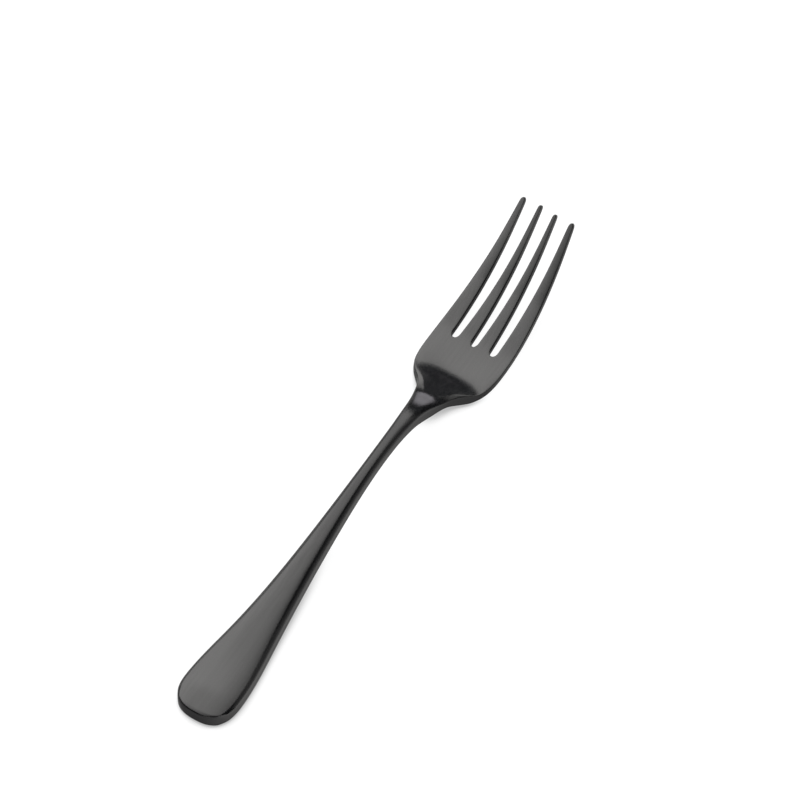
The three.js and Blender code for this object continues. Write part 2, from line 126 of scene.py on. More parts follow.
# %% Write the smooth curve
def smooth_curve(sizes, level_at=None):
    """A natural cubic spline through sizes at named places, straight past its two ends.

    If the first size is at the place level_at, the second is repeated as far behind that place, which
    makes the curve all but level there.
    """
    knots = [(PLACES[name], size) for name, size in sizes.items()]
    if level_at:
        place, size = knots[1]
        knots.insert(0, (2 * PLACES[level_at] - place, size))
    places, values = np.array(knots).T
    spans = np.diff(places)
    slopes = np.diff(values) / spans
    rows = np.eye(len(places))
    jumps = np.zeros(len(places))
    for i in range(1, len(places) - 1):
        rows[i, i - 1 : i + 2] = spans[i - 1], 2 * (spans[i - 1] + spans[i]), spans[i]
        jumps[i] = 6 * (slopes[i] - slopes[i - 1])
    bends = np.linalg.solve(rows, jumps)
    start_slope = slopes[0] - spans[0] * bends[1] / 6
    end_slope = slopes[-1] + spans[-1] * bends[-2] / 6

    def value_at(y):
        inside = np.clip(y, places[0], places[-1])
        i = np.clip(np.searchsorted(places, inside, "right") - 1, 0, len(spans) - 1)
        b = (inside - places[i]) / spans[i]
        a = 1 - b
        swell = ((a**3 - a) * bends[i] + (b**3 - b) * bends[i + 1]) * spans[i] ** 2 / 6
        beyond = start_slope * np.minimum(y - places[0], 0) + end_slope * np.maximum(y - places[-1], 0)
        return a * values[i] + b * values[i + 1] + swell + beyond

    return value_at


straight_line = smooth_curve({"end": 0.0, "tips": 1.0})
print("halfway along the fork, a curve from 0 to 1 gives", float(straight_line(PLACES["tips"] / 2)))

# %% [markdown]
# Width
#
# From above, the fork is its width: broad near the handle's end, slim at the neck and broad again at
# the head. The end itself is rounded later, so the widths start where the handle is broadest.

# %% Draw the width
WIDTHS = {
    "broad": 0.0174,
    "grip": 0.0137,
    "shank": 0.0066,
    "neck": 0.0046,
    "brow": 0.0051,
    "throat": 0.0064,
    "collar": 0.008,
    "flare": 0.0104,
    "hollow": 0.0133,
    "shoulder": 0.0193,
    "bowl": 0.023,
    "head": 0.02418,
    "waist": 0.0237,
    "curl": 0.02195,
    "tips": 0.0174,
}
full_width = smooth_curve(WIDTHS, level_at="broad")


def in_mm(length):
    """A length in millimetres, rounded for printing."""
    return round(float(length) * 1000, 2)


print("the neck is", in_mm(full_width(PLACES["neck"])), "mm wide")

# %% [markdown]
# Heights
#
# From the side, the top of the fork is two lines. One is the height of its edge. The other is the
# height of the middle of its top, which stands about a millimetre above the edge on the handle and a
# little below it in the bowl. More lines could be given, but two are enough where a smooth band joins
# them.

# %% Draw the heights
EDGE_HEIGHTS = {
    "end": 0.0049,
    "rest": 0.0041,
    "shank": 0.00835,
    "neck": 0.01075,
    "brow": 0.0101,
    "lip": 0.00946,
    "throat": 0.00853,
    "collar": 0.0069,
    "flare": 0.00525,
    "hollow": 0.0045,
    "shoulder": 0.0038,
    "bowl": 0.003,
    "head": 0.0024,
    "curl": 0.0059,
    "sweep": 0.0123,
    "tips": 0.0205,
}
MIDDLE_HEIGHTS = {
    "end": 0.006,
    "rest": 0.0052,
    "shank": 0.0093,
    "neck": 0.0117,
    "brow": 0.0111,
    "lip": 0.01036,
    "throat": 0.00941,
    "collar": 0.0076,
    "plunge": 0.0065,
    "flare": 0.00593,
    "hollow": 0.00498,
    "shoulder": 0.00403,
    "basin": 0.00288,
    "floor": 0.00242,
    "head": 0.0023,
    "curl": 0.006,
    "sweep": 0.0125,
    "tips": 0.0207,
}
edge_height = smooth_curve(EDGE_HEIGHTS)
middle_height = smooth_curve(MIDDLE_HEIGHTS)
print("the edge of the neck is", in_mm(edge_height(PLACES["neck"])), "mm above the table")

# %% [markdown]
# Section
#
# A cut across the fork shows a middle that falls to the edge across a rounded band. The band's width
# says where the fall starts. Its power says how the fall goes on: near 1 it is a plain slope, and a
# higher power stays flat for longer and ends steeper. In the bowl, the bow brings the slope nearer to
# the handle at the flanks than in the middle, and the dish lifts the flanks.

# %% Draw the section of the top
BANDS = {
    "end": 0.009,
    "rest": 0.009,
    "shank": 0.0045,
    "neck": 0.0036,
    "throat": 0.0032,
    "collar": 0.0033,
    "plunge": 0.0031,
    "flare": 0.0023,
    "hollow": 0.0012,
    "shoulder": 0.0004,
    "bowl": 0.004,
    "head": 0.0121,
    "tips": 0.0121,
}
BAND_POWERS = {
    "end": 2.5,
    "rest": 2.5,
    "shank": 2.6,
    "neck": 2.5,
    "brow": 2.6,
    "throat": 3.0,
    "collar": 2.2,
    "plunge": 1.8,
    "flare": 1.3,
    "hollow": 1.2,
    "bowl": 2.5,
    "head": 2.5,
    "tips": 2.5,
}
band = smooth_curve(BANDS)
band_power = smooth_curve(BAND_POWERS)
print("the rounded band of the flare is", in_mm(band(PLACES["flare"])), "mm wide")

# %% Draw the bow and the dish of the bowl
BOWS = {
    "end": 0.0,
    "throat": 0.0,
    "flare": 0.0,
    "shoulder": 0.001,
    "bowl": 0.002,
    "head": 0.0008,
    "roots": 0.0,
    "curl": 0.0,
    "tips": 0.0,
}
DISHES = {
    "end": 0.0,
    "throat": 0.0,
    "flare": 0.0,
    "shoulder": 0.0001,
    "bowl": 0.0006,
    "head": 0.0002,
    "roots": 0.0,
    "curl": 0.0,
    "tips": 0.0,
}
bow = smooth_curve(BOWS)
dish = smooth_curve(DISHES)
print("the bow of the bowl is", in_mm(bow(PLACES["bowl"])), "mm")

# %% [markdown]
# Wall, underside and rims
#
# The wall is the height of the fork's sides, and it thins towards the tips. The underside sags a
# little below the foot of the wall, so it is rounded too. The rims are rounded well on the handle,
# which is held, and hardly at all on the tines. One size for the whole fork would be simpler, but the
# light along an edge shows how wide its rounding is.

# %% Draw the wall, the underside and the rims
WALLS = {
    "end": 0.0042,
    "rest": 0.004,
    "shank": 0.0032,
    "neck": 0.0027,
    "brow": 0.0028,
    "throat": 0.0032,
    "collar": 0.0028,
    "flare": 0.00225,
    "hollow": 0.0032,
    "shoulder": 0.00245,
    "bowl": 0.0021,
    "head": 0.0021,
    "curl": 0.002,
    "tips": 0.0013,
}
SAGS = {
    "end": 0.0002,
    "rest": 0.0002,
    "neck": 0.00075,
    "throat": 0.00065,
    "head": 0.0004,
    "roots": 0.0004,
    "tips": 0.0004,
}
RIMS = {
    "end": 0.0008,
    "grip": 0.0015,
    "shank": 0.0015,
    "neck": 0.0012,
    "throat": 0.0005,
    "flare": 0.0002,
    "head": 0.0003,
    "roots": 0.0003,
    "curl": 0.0003,
    "sweep": 0.00025,
    "tips": 0.0002,
}
wall = smooth_curve(WALLS)
sag = smooth_curve(SAGS)
rim = smooth_curve(RIMS)
print("the wall of the neck is", in_mm(wall(PLACES["neck"])), "mm high")

# %% [markdown]
# The flat blank
#
# The blank starts as a grid. Its columns are shared out so that some of them fall on the slots and the
# rest on the tines, and its rows run from the handle's end to the tips. The slots could be cut out with
# a boolean, but that leaves ragged faces beside the cut. On a grid, piercing only deletes the faces in
# the slots, and the faces that are left are clean quads.

# %% Lay out the columns and rows
HALF_COLUMNS = 12
MIDDLE_SLOT = (0, 2)
INNER_TINE = (2, 5)
OUTER_SLOT = (5, 9)
OUTER_TINE = (9, 12)
END_ROWS = 7
BODY_ROWS = 125
TINE_ROWS = 34
TIP_ROWS = 1
ROOT_ROW = END_ROWS + BODY_ROWS
TIP_START_ROW = ROOT_ROW + TINE_ROWS
ROWS = TIP_START_ROW + TIP_ROWS

bpy.ops.object.select_all(action="DESELECT")
bpy.ops.mesh.primitive_grid_add(x_subdivisions=2 * HALF_COLUMNS, y_subdivisions=ROWS, size=2)
fork = bpy.context.object
fork.name = "black_fork"
print("the grid has", len(fork.data.polygons), "faces in", ROWS, "rows")


# %% Pierce the slots
def deselect(mesh):
    for elements in (mesh.vertices, mesh.edges, mesh.polygons):
        elements.foreach_set("select", np.zeros(len(elements), dtype=bool))


def lies_in_slot(face):
    column = int(abs(face.center.x) * HALF_COLUMNS)
    row = int((face.center.y + 1) / 2 * ROWS)
    over_slot = any(first <= column < last for first, last in (MIDDLE_SLOT, OUTER_SLOT))
    return over_slot and row >= ROOT_ROW


deselect(fork.data)
for face in fork.data.polygons:
    face.select = lies_in_slot(face)
bpy.ops.object.mode_set(mode="EDIT")
bpy.ops.mesh.select_mode(type="FACE")
bpy.ops.mesh.delete(type="FACE")
bpy.ops.object.mode_set(mode="OBJECT")
print("after piercing,", len(fork.data.polygons), "faces are left")

# %% [markdown]
# The outline
#
# Each point of the grid knows its column and its row, and a few rules place it. On the body, a row runs
# straight across from edge to edge. At the handle's end and at each tip, the square grid is drawn in to
# a round end, the way a square sheet is drawn over a disc. At the root of a slot, the row dips round a
# half circle, and the rows towards the handle follow it less and less. Points could be pulled into
# place by hand, but rules keep the two halves alike and the curves fair.

# %% Size the slots and the tines
# Each pair gives a size at the roots and at the tips.
MIDDLE_SLOT_HALVES = (0.00095, 0.00195)
OUTER_SLOT_HALVES = (0.0011, 0.0021)
OUTER_SLOT_OFFSETS = (0.00616, 0.00513)
ROOT_LINE = PLACES["roots"] + OUTER_SLOT_HALVES[0]


def blend(start, end, share):
    return start + (end - start) * share


def smooth_step(start, end, at):
    share = np.clip((at - start) / (end - start), 0, 1)
    return share * share * (3 - 2 * share)


def tine_edges(tine, y):
    """The two sides of a right-hand tine at a place along it."""
    share = (y - ROOT_LINE) / (PLACES["tips"] - ROOT_LINE)
    offset = blend(*OUTER_SLOT_OFFSETS, share)
    outer_half = blend(*OUTER_SLOT_HALVES, share)
    if tine == INNER_TINE:
        return blend(*MIDDLE_SLOT_HALVES, share), offset - outer_half
    return offset + outer_half, full_width(y) / 2


print("an inner tine is", in_mm(np.ptp(tine_edges(INNER_TINE, ROOT_LINE))), "mm wide at its root")

# %% Write the rule for the roots
INNER_COLUMN_SHARE = 0.25
ROOT_TURN = math.pi / 4


def tine_share(tine, column):
    """Where a column lies on its tine, from -1 at the inner side to 1 at the outer side."""
    first, last = tine
    shares = {first: -1, first + 1: -INNER_COLUMN_SHARE, last - 1: INNER_COLUMN_SHARE, last: 1}
    return shares[column]


def round_root(column, slot, half, middle):
    """A point of a slot's root, on a half circle that the columns go round from its outer side."""
    angle = (column - slot[1]) * ROOT_TURN
    return middle + half * math.cos(angle), PLACES["roots"] + half + half * math.sin(angle)


def root_point(column):
    """A point on the line through the roots: on a half circle in a slot, level on a tine."""
    if column < MIDDLE_SLOT[1]:
        return round_root(column, MIDDLE_SLOT, MIDDLE_SLOT_HALVES[0], 0.0)
    if OUTER_SLOT[0] <= column <= OUTER_SLOT[1]:
        return round_root(column, OUTER_SLOT, OUTER_SLOT_HALVES[0], OUTER_SLOT_OFFSETS[0])
    tine = INNER_TINE if column < INNER_TINE[1] else OUTER_TINE
    left, right = tine_edges(tine, ROOT_LINE)
    return blend(left, right, (tine_share(tine, column) + 1) / 2), ROOT_LINE


print("the middle slot starts", in_mm(root_point(0)[1]), "mm from the handle's end")

# %% Write the rule for the body
END_LENGTH = PLACES["broad"]
EDGE_COLUMN_SHARE = 0.14
RIM_ROOM = 1.15
ROOT_DIP_FADE = 0.5


def body_share(column, y):
    """How far out a column lies on the body, from 0 in the middle to 1 at the edge."""
    half = full_width(y) / 2
    inner_reach = min(1 - EDGE_COLUMN_SHARE, 1 - RIM_ROOM * rim(y) / half)
    plain = 1.0 if column == HALF_COLUMNS else inner_reach * column / (HALF_COLUMNS - 1)
    rooted = root_point(column)[0] / (full_width(ROOT_LINE) / 2)
    return blend(plain, rooted, smooth_step(PLACES["throat"], PLACES["head"], y))


def body_point(column, row):
    """A point of a straight row, which follows the dips of the roots where it is close to them."""
    y = blend(END_LENGTH, ROOT_LINE, (row - END_ROWS) / BODY_ROWS)
    x = body_share(column, y) * full_width(y) / 2
    dip = root_point(column)[1] - ROOT_LINE
    return x, y + dip * ROOT_DIP_FADE ** (ROOT_ROW - row)


print("the body's first row is", in_mm(2 * body_point(HALF_COLUMNS, END_ROWS)[0]), "mm long")

# %% Write the rule for the handle's end
END_SQUARENESS = 2.6
END_RIM_SHARE = 0.22


def round_end(across, along):
    """Draws a point of a half square in to a half disc."""
    return across * math.sqrt(1 - along**2 / 2), along * math.sqrt(1 - across**2 / 2)


def end_point(column, row):
    """A point of the handle's end, which is a little squarer than half an ellipse."""
    along = 1.0 if row == 0 else (1 - END_RIM_SHARE) * (END_ROWS - row) / (END_ROWS - 1)
    across, along = round_end(body_share(column, END_LENGTH), along)
    radius = math.hypot(across, along)
    if radius == 0:
        return 0.0, END_LENGTH
    power = END_SQUARENESS
    stretch = radius / (across**power + along**power) ** (1 / power)
    half = full_width(END_LENGTH) / 2
    return half * across * stretch, END_LENGTH * (1 - along * stretch)


end_corner = end_point(HALF_COLUMNS, 0)
print("a corner of the grid is drawn in to", [in_mm(c) for c in end_corner], "mm")

# %% Write the rule for the tines
LEFT_TIPS = 0.1800
RIGHT_TIPS = 0.1796
TIP_LENGTH_SHARE = 1.1


def tine_point(column, row, side):
    """A point of a tine. The tines on the right are a little shorter."""
    tine = INNER_TINE if column <= INNER_TINE[1] else OUTER_TINE
    tip = LEFT_TIPS if side < 0 else RIGHT_TIPS
    left, right = tine_edges(tine, tip)
    tip_length = (right - left) / 2 * TIP_LENGTH_SHARE
    y = blend(ROOT_LINE, tip - tip_length, min((row - ROOT_ROW) / TINE_ROWS, 1))
    left, right = tine_edges(tine, y)
    across = tine_share(tine, column)
    if row > TIP_START_ROW:
        across, along = round_end(across, (row - TIP_START_ROW) / TIP_ROWS)
        y += along * tip_length
    return blend(left, right, (across + 1) / 2), y


tip_corner = tine_point(HALF_COLUMNS, ROWS, 1)
print("a corner of a right tip is drawn in to", [in_mm(c) for c in tip_corner], "mm")


# %% Trim the grid to the outline
def outline_point(column, row, side):
    if row < END_ROWS:
        return end_point(column, row)
    if row <= ROOT_ROW:
        return body_point(column, row)
    return tine_point(column, row, side)


for vertex in fork.data.vertices:
    side = math.copysign(1, vertex.co.x)
    column = round(abs(vertex.co.x) * HALF_COLUMNS)
    row = round((vertex.co.y + 1) / 2 * ROWS)
    x, y = outline_point(column, row, side)
    vertex.co = (side * x, y, 0.0)
fork.data.update()
print("the trimmed blank is", in_mm(np.ptp([vertex.co.y for vertex in fork.data.vertices])), "mm long")

# %% [markdown]
# Thickness and rims
#
# The sheet is extruded down, and each point of the lower face is set to the wall's thickness at its
# place. A Solidify modifier would be quicker, but it gives one thickness all over. The rims are rounded
# with a Bevel modifier that reads a weight on each edge, because the rounding is fuller on the handle
# than on the tines. One level of subdivision then smooths the outline and the rims together, while the
# faces are still flat and nothing can bulge.

# %% Extrude the sheet down
bpy.ops.object.mode_set(mode="EDIT")
bpy.ops.mesh.select_all(action="SELECT")
bpy.ops.mesh.extrude_region_move(TRANSFORM_OT_translate={"value": (0, 0, -WALLS["end"])})
bpy.ops.mesh.select_all(action="SELECT")
bpy.ops.mesh.normals_make_consistent(inside=False)
bpy.ops.object.mode_set(mode="OBJECT")
for vertex in fork.data.vertices:
    if vertex.co.z < 0:
        vertex.co.z = -float(wall(vertex.co.y))
fork.data.update()
print("the blank now has", len(fork.data.polygons), "faces")

# %% Weigh the rims
FULLEST_RIM = max(RIMS.values())
WALL_LIMIT = 0.5


def is_wall(face):
    """Whether a face's normal is within 30 degrees of level."""
    return abs(face.normal.z) < WALL_LIMIT


def rim_edges(mesh):
    """The edges between a flat face and a wall."""
    flat_sides = {edge.key: 0 for edge in mesh.edges}
    for face in mesh.polygons:
        if not is_wall(face):
            for key in face.edge_keys:
                flat_sides[key] += 1
    return [edge for edge in mesh.edges if flat_sides[edge.key] == 1]


weights = fork.data.attributes.new("bevel_weight_edge", "FLOAT", "EDGE")
rims = rim_edges(fork.data)
for edge in rims:
    ends = [fork.data.vertices[i].co.y for i in edge.vertices]
    weights.data[edge.index].value = float(rim(sum(ends) / 2)) / FULLEST_RIM
print(len(rims), "edges are rims")

# %% Round the rims
RIM_STEPS = 3
SMOOTHING_LEVELS = 1

bevel = fork.modifiers.new("rounded rims", "BEVEL")
bevel.limit_method = "WEIGHT"
bevel.width = FULLEST_RIM
bevel.segments = RIM_STEPS
bevel.use_clamp_overlap = False
smoothing = fork.modifiers.new("smooth outline", "SUBSURF")
smoothing.levels = SMOOTHING_LEVELS
smoothing.render_levels = SMOOTHING_LEVELS
bpy.ops.object.modifier_apply(modifier=bevel.name)
bpy.ops.object.modifier_apply(modifier=smoothing.name)
print("the rounded blank has", len(fork.data.vertices), "points")

# %% [markdown]
# Painted shade
#
# The walls of the slots, the sides of the head, the rim round the handle's end and the top of the neck
# are painted darker. This is painted shade, standing in for the shade and dark reflections that these
# parts show. A pattern in space could not follow a rim. So each point gets a number, from 0 where
# there is no painted shade to 1 where it is darkest, while the blank is flat and its walls are easy
# to tell from its faces. The coating reads these numbers later.

# %% Measure the flat blank
flat_points = np.zeros(len(fork.data.vertices) * 3)
fork.data.vertices.foreach_get("co", flat_points)
flat_points = flat_points.reshape(-1, 3)
flat_normals = np.zeros(len(fork.data.vertices) * 3)
fork.data.vertex_normals.foreach_get("vector", flat_normals)
wall_share = 1 - np.abs(flat_normals.reshape(-1, 3)[:, 2])
from_end = flat_points[:, 1]
in_from_outline = full_width(from_end) / 2 - np.abs(flat_points[:, 0])
pierced = (from_end > PLACES["roots"] - FULLEST_RIM) & (in_from_outline > RIMS["tips"])
print(int(pierced.sum()), "points lie in from the outline where the slots are")

# %% Paint shade on the walls
# Painted shade on the walls along the fork, from 0 to 1; the walls of the slots are painted darkest.
SIDE_PAINTED_SHADE = {
    "end": 0.78,
    "broad": 0.12,
    "rest": 0.0,
    "neck": 0.0,
    "throat": 0.35,
    "shoulder": 0.75,
    "head": 0.5,
    "tips": 0.3,
}
SLOT_PAINTED_SHADE = {
    "end": 1.0,
    "roots": 1.0,
    "curl": 0.6,
    "tips": 0.1,
}
# A smooth curve may run a little past 0 or 1, and the mix of colours in the coating stops it there.
wall_painted_shade = np.where(pierced, smooth_curve(SLOT_PAINTED_SHADE)(from_end), smooth_curve(SIDE_PAINTED_SHADE)(from_end))
print("the darkest wall has a skin of", round(float(wall_painted_shade.max()), 2))

# %% Paint shade on the top of the neck
# Painted shade on the top along the fork, darkest on the neck; it blends into the walls' painted shade.
TOP_PAINTED_SHADE = {
    "end": 0.0,
    "grip": 0.02,
    "shank": 0.15,
    "neck": 0.3,
    "brow": 0.28,
    "throat": 0.08,
    "collar": 0.0,
    "head": 0.0,
    "tips": 0.0,
}
WALL_TURN = (0.1, 0.7)

top_painted_shade = np.clip(smooth_curve(TOP_PAINTED_SHADE)(from_end), 0, None)
face_painted_shade = blend(top_painted_shade, wall_painted_shade, smooth_step(*WALL_TURN, wall_share))
print("the darkest top has a skin of", round(float(top_painted_shade.max()), 2))

# %% Paint shade on the rim of the handle's end
END_RIM_PAINTED_SHADE = 0.85
END_RIM_SHADE_REACH = 0.007

near_end = smooth_step(END_RIM_SHADE_REACH, 0.0, from_end)
# The product is 0 on the top and on the wall, and reaches 1 on the turn between them.
on_turn = 4 * wall_share * (1 - wall_share)
# Each point keeps the darker of its painted shade and the painted shade round the end's rim.
painted_shade = fork.data.attributes.new("painted_shade", "FLOAT", "POINT")
painted_shade.data.foreach_set("value", np.maximum(face_painted_shade, END_RIM_PAINTED_SHADE * near_end * on_turn))
print(len(painted_shade.data), "points have their skin")

# %% [markdown]
# The press
#
# The press does three things at once. It shapes the top, which is crowned on the handle, hollowed in
# the bowl and rounded again on each tine. It carries the blank onto its bend line, which rises from the
# handle to the crest of the neck, dips to the head and sweeps up to the tips. And where the fork rests,
# it leaves the underside flat. A lattice or a sculpting brush could do this by eye. Here the fork's
# curves move every point, so that each section runs smoothly into the next.

# %% Write the formulas of the press
PROBE = 1e-5
TINE_CURVATURE = 45.0


def slope(curve, y):
    return (curve(y + PROBE) - curve(y - PROBE)) / (2 * PROBE)


def fall_share(x, y):
    """0 in the middle of the fork, rising across the rounded band to 1 at the outline."""
    side_slope = slope(full_width, y) / 2
    half = full_width(y) / 2 / np.hypot(1, side_slope)
    inset = half - np.abs(x) / np.hypot(1, side_slope)
    along_sides = np.clip(1 - inset / np.minimum(half, band(y)), 0, 1)
    across = np.abs(x) / (full_width(END_LENGTH) / 2)
    along = np.clip((END_LENGTH - y) / END_LENGTH, 0, None)
    round_the_end = (across**END_SQUARENESS + along**END_SQUARENESS) ** (1 / END_SQUARENESS)
    return np.where(y < END_LENGTH, np.minimum(round_the_end, 1), along_sides)


def tine_crown(x, y):
    """How far the rounded top of a tine stands above its sides."""
    rise = np.zeros_like(x)
    for tine in (INNER_TINE, OUTER_TINE):
        left, right = tine_edges(tine, y)
        rise = np.maximum(rise, TINE_CURVATURE * (right - np.abs(x)) * (np.abs(x) - left))
    return rise * smooth_step(PLACES["roots"], PLACES["curl"], y)


sweep_angle = math.degrees(math.atan(slope(edge_height, PLACES["sweep"])))
print("at their sweep, the tines rise by", round(sweep_angle, 1), "degrees")

# %% Press the blank
BOW_POWER = 4
DISH_POWER = 2

x, y, depth = flat_points.T
arch = 1 - fall_share(x, y) ** band_power(y)
height_share = 1 + depth / wall(y)
out_share = x / (full_width(np.maximum(y, END_LENGTH)) / 2)
bowed_middle = middle_height(y + bow(y) * out_share**BOW_POWER)
crown = bowed_middle + dish(y) * out_share**DISH_POWER - edge_height(y)
lift = (arch * crown + tine_crown(x, y)) * height_share
drop = depth - arch * sag(y) * (1 - height_share)
tilt = np.arctan(slope(edge_height, y))
pressed = np.stack((x, y - drop * np.sin(tilt), edge_height(y) + lift + drop * np.cos(tilt)), axis=1)
pressed[:, 2] = np.maximum(pressed[:, 2], 0)
print("the pressed fork spans", np.round(np.ptp(pressed, axis=0) * 1000, 2), "mm")

# %% Lay the fork in its place
box_middle = (fork_low[1] + fork_high[1]) / 2
pressed[:, 1] += box_middle - (pressed[:, 1].min() + pressed[:, 1].max()) / 2
fork.data.vertices.foreach_set("co", pressed.ravel())
fork.data.update()
bpy.ops.object.shade_smooth()
print("the fork lies from", in_mm(pressed[:, 1].min()), "to", in_mm(pressed[:, 1].max()), "mm")

# %% [markdown]
# Black brushed steel
#
# The coating is far thinner than the brush marks under it, so the marks still show. They are too fine
# to model: what the eye sees is a sheen that is drawn out across the marks. The shader has a setting
# for that, called anisotropy, which needs to know which way the brush went. A map on the fork's own
# surface tells it. The map's first axis runs across the marks, which follow the length of the fork
# and, on the wall round the handle's end, the outline.

# %% Map the direction of the brush
brushing = fork.data.uv_layers.new(name="brushing")
for face in fork.data.polygons:
    on_end_wall = is_wall(face) and abs(face.normal.y) > abs(face.normal.x)
    for corner in face.loop_indices:
        across, along, down = flat_points[fork.data.loops[corner].vertex_index]
        brushing.data[corner].uv = (down, across) if on_end_wall else (across + down, along)
print("the brush map has", len(brushing.data), "corners")

# %% Brush the steel
SHEEN_SPREAD = 0.72
# A tint below 1 keeps the steel dark where it is seen at a low angle.
GRAZING_TINT = (0.5, 0.5, 0.5)


def new_material(name):
    made = bpy.data.materials.new(name)
    made.use_nodes = True
    return made, made.node_tree.nodes, made.node_tree.links


coating, nodes, links = new_material("black_brushed_steel")
steel = nodes["Principled BSDF"]
steel.inputs["Metallic"].default_value = 1.0
steel.inputs["Anisotropic"].default_value = SHEEN_SPREAD
steel.inputs["Specular Tint"].default_value = (*GRAZING_TINT, 1)
brush_way = nodes.new("ShaderNodeTangent")
brush_way.direction_type = "UV_MAP"
brush_way.uv_map = brushing.name
links.new(brush_way.outputs["Tangent"], steel.inputs["Tangent"])
fork.data.materials.append(coating)
print("the sheen of the steel follows the map called", brush_way.uv_map)

# %% [markdown]
# Streaks and colour
#
# A brush leaves streaks that are long, fine and uneven. They could be painted, but one noise, squeezed
# across the fork and stretched along it, gives them at any size. It varies the tone and the roughness
# only a little, because the coating evens the streaks out.

# %% Streak the steel
STREAK_SCALE = (1600.0, 40.0, 1600.0)
STREAK_DETAIL = 4.0
STREAK_RANGE = (0.3, 0.7)
ROUGHNESS_RANGE = (0.22, 0.27)

place = nodes.new("ShaderNodeTexCoord")
stretch = nodes.new("ShaderNodeMapping")
stretch.inputs["Scale"].default_value = STREAK_SCALE
links.new(place.outputs["Object"], stretch.inputs["Vector"])
streaks = nodes.new("ShaderNodeTexNoise")
streaks.inputs["Scale"].default_value = 1.0
streaks.inputs["Detail"].default_value = STREAK_DETAIL
links.new(stretch.outputs["Vector"], streaks.inputs["Vector"])

gloss = nodes.new("ShaderNodeMapRange")
gloss.inputs["From Min"].default_value, gloss.inputs["From Max"].default_value = STREAK_RANGE
gloss.inputs["To Min"].default_value, gloss.inputs["To Max"].default_value = ROUGHNESS_RANGE
links.new(streaks.outputs["Fac"], gloss.inputs["Value"])
links.new(gloss.outputs["Result"], steel.inputs["Roughness"])
print("a streak is", STREAK_SCALE[0] / STREAK_SCALE[1], "times as long as it is wide")

# %% Colour the steel
STEEL_COLOUR = (0.1065, 0.105, 0.1035)
# The second colour is the near-black of the painted shade.
PAINTED_SHADE_COLOUR = (0.012, 0.012, 0.013)
TONE_RANGE = (0.93, 1.07)

tone = nodes.new("ShaderNodeValToRGB")
for stop, position, strength in zip(tone.color_ramp.elements, STREAK_RANGE, TONE_RANGE):
    stop.position = position
    stop.color = (*[strength * c for c in STEEL_COLOUR], 1)
links.new(streaks.outputs["Fac"], tone.inputs["Fac"])

# Painted shade: the attribute mixes the steel towards that near-black on the walls, in the slots, round
# the end's rim and on the neck.
painted_shade_reader = nodes.new("ShaderNodeAttribute")
painted_shade_reader.attribute_name = painted_shade.name
shade_mix = nodes.new("ShaderNodeMix")
shade_mix.data_type = "RGBA"
shade_mix.inputs["B"].default_value = (*PAINTED_SHADE_COLOUR, 1)
links.new(painted_shade_reader.outputs["Fac"], shade_mix.inputs["Factor"])
links.new(tone.outputs["Color"], shade_mix.inputs["A"])
links.new(shade_mix.outputs["Result"], steel.inputs["Base Color"])
print("the coating has", len(nodes), "nodes")

# %% [markdown]
# One piece for one solid
#
# A real fork doesn't come apart, so this one mesh takes the place of the measured solid. The solid is
# hidden, but it still says how the fork rests and what it touches.

# %% Let the piece stand for the solid
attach(fork, "root")
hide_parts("fork")
print(fork.name, "stands for the measured solid")

# %% [markdown]
# Table
#
# The table is plain white. It could be lit until it is white, but then the fork would get too much
# light as well. So it is grey under the lamps, which lets the fork's shadow fall on it, and it glows
# where it is seen by the camera or in the steel, which lifts it to white. Close to the fork the glow is
# weaker: this is a painted contact shadow, so that the fork seems to lie on the table. That painted
# shadow fades out beside the head, and the table stays white between the tines.

# %% Lay the table
TABLE_SIZE = 6.0
TABLE_GREY = 0.2

bpy.ops.mesh.primitive_plane_add(size=TABLE_SIZE, location=(0, 0, 0))
table = bpy.context.object
table.name = "white_table"
paper, nodes, links = new_material("white_table_top")
table.data.materials.append(paper)
top = nodes["Principled BSDF"]
top.inputs["Base Color"].default_value = (TABLE_GREY, TABLE_GREY, TABLE_GREY, 1)
top.inputs["Roughness"].default_value = 1.0
top.inputs["Specular IOR Level"].default_value = 0.0
top.inputs["Emission Color"].default_value = (1, 1, 1, 1)
print("the table is", table.dimensions.x, "m wide")

# %% Paint a contact shadow beside the fork by weakening the glow
TABLE_GLOW = 0.95
PAINTED_SHADOW_GLOW = 0.45
PAINTED_SHADOW_REACH = 0.0055
PAINTED_SHADOW_OPENNESS = (0.4, 0.7)
PAINTED_SHADOW_FADE = (0.033, 0.039)

# The painted contact shadow: the glow drops where the Ambient Occlusion node finds the fork close by,
# and the drop fades out along the table towards the head.
spot = nodes.new("ShaderNodeTexCoord")
axes = nodes.new("ShaderNodeSeparateXYZ")
links.new(spot.outputs["Object"], axes.inputs["Vector"])
painted_shadow_depth = nodes.new("ShaderNodeMapRange")
painted_shadow_depth.inputs["From Min"].default_value, painted_shadow_depth.inputs["From Max"].default_value = PAINTED_SHADOW_FADE
painted_shadow_depth.inputs["To Min"].default_value = PAINTED_SHADOW_GLOW
painted_shadow_depth.inputs["To Max"].default_value = TABLE_GLOW
links.new(axes.outputs["Y"], painted_shadow_depth.inputs["Value"])

openness = nodes.new("ShaderNodeAmbientOcclusion")
openness.inputs["Distance"].default_value = PAINTED_SHADOW_REACH
glow = nodes.new("ShaderNodeMapRange")
glow.inputs["From Min"].default_value, glow.inputs["From Max"].default_value = PAINTED_SHADOW_OPENNESS
glow.inputs["To Max"].default_value = TABLE_GLOW
links.new(painted_shadow_depth.outputs["Result"], glow.inputs["To Min"])
links.new(openness.outputs["AO"], glow.inputs["Value"])
print("the glow falls from", TABLE_GLOW, "to", PAINTED_SHADOW_GLOW, "beside the fork")


